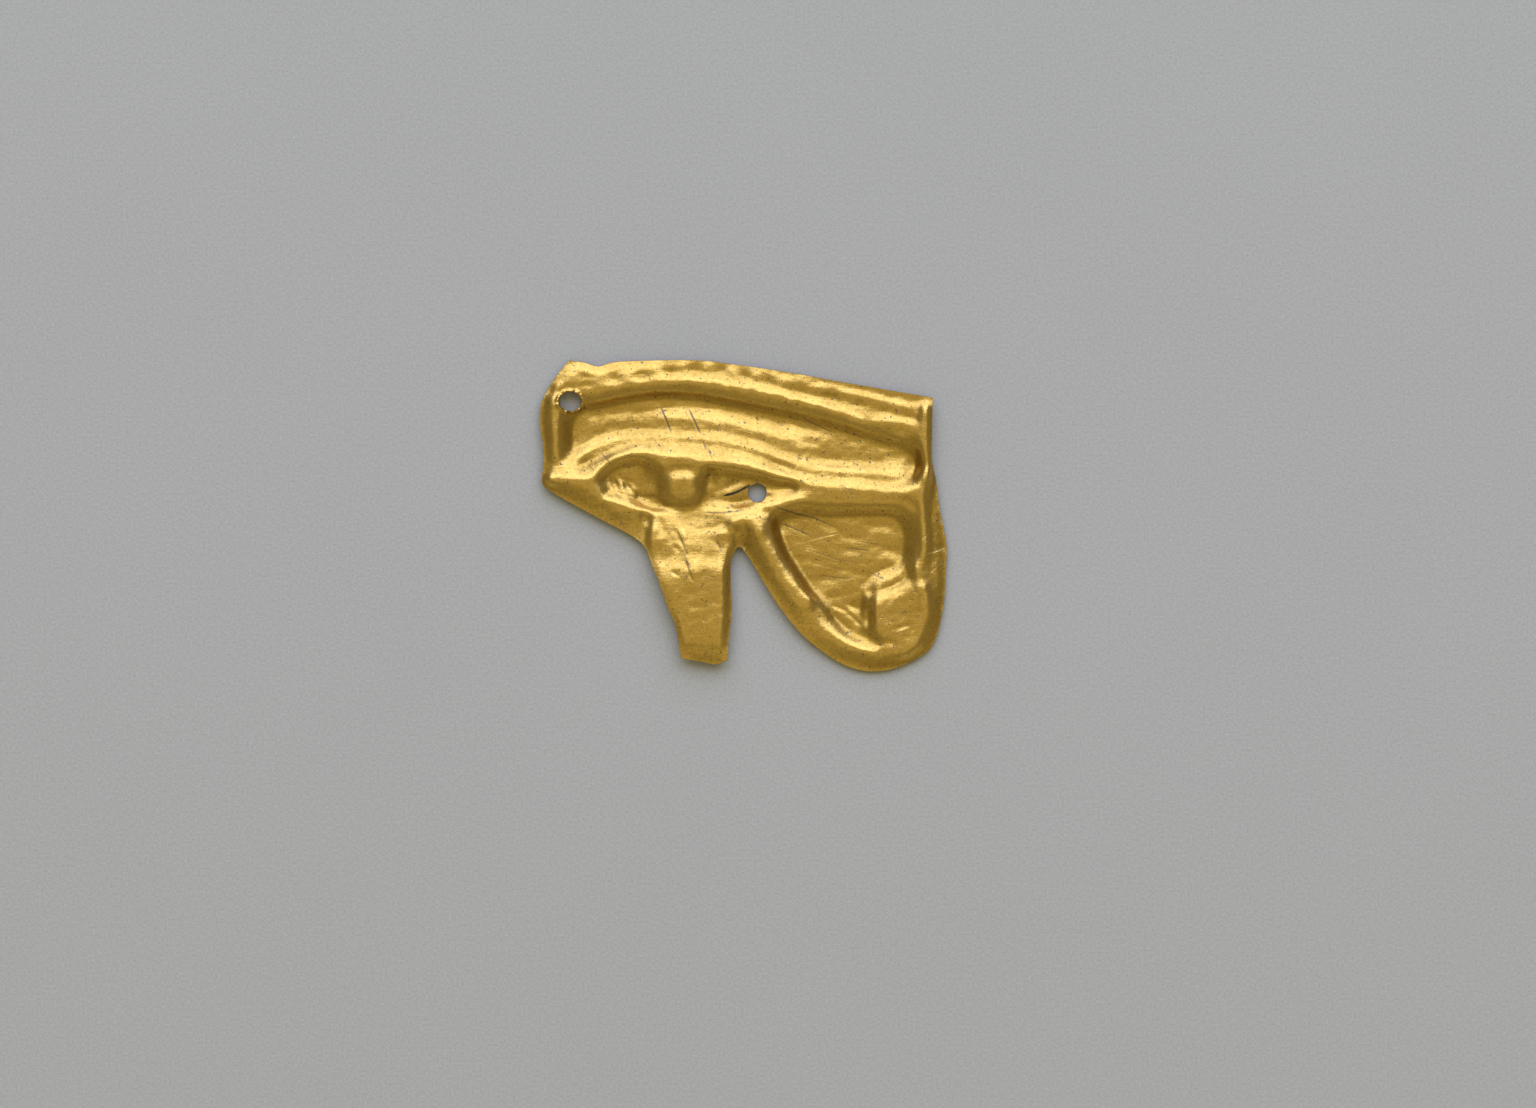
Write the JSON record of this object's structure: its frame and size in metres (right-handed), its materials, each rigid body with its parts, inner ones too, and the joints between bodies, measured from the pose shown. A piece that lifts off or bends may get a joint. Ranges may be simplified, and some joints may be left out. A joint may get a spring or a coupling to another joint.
{
  "type": "wedjat eye amulet",
  "caption": "Eye-shaped amulet beaten from one piece of thin gold sheet, with raised lines and a thread hole at the brow.",
  "frame": {"origin": "under the middle of the sheet's box, on the surface that it lies on", "axes": "+X to the right across the face, +Y up the face towards the brow, +Z out of the face"},
  "size_m": [0.0264, 0.0202, 0.0012],
  "materials": {
    "gold": "beaten and burnished gold, softly worn, with fine scratches"
  },
  "bodies": {
    "root": {"gold_sheet": "gold"}
  },
  "joints": []
}
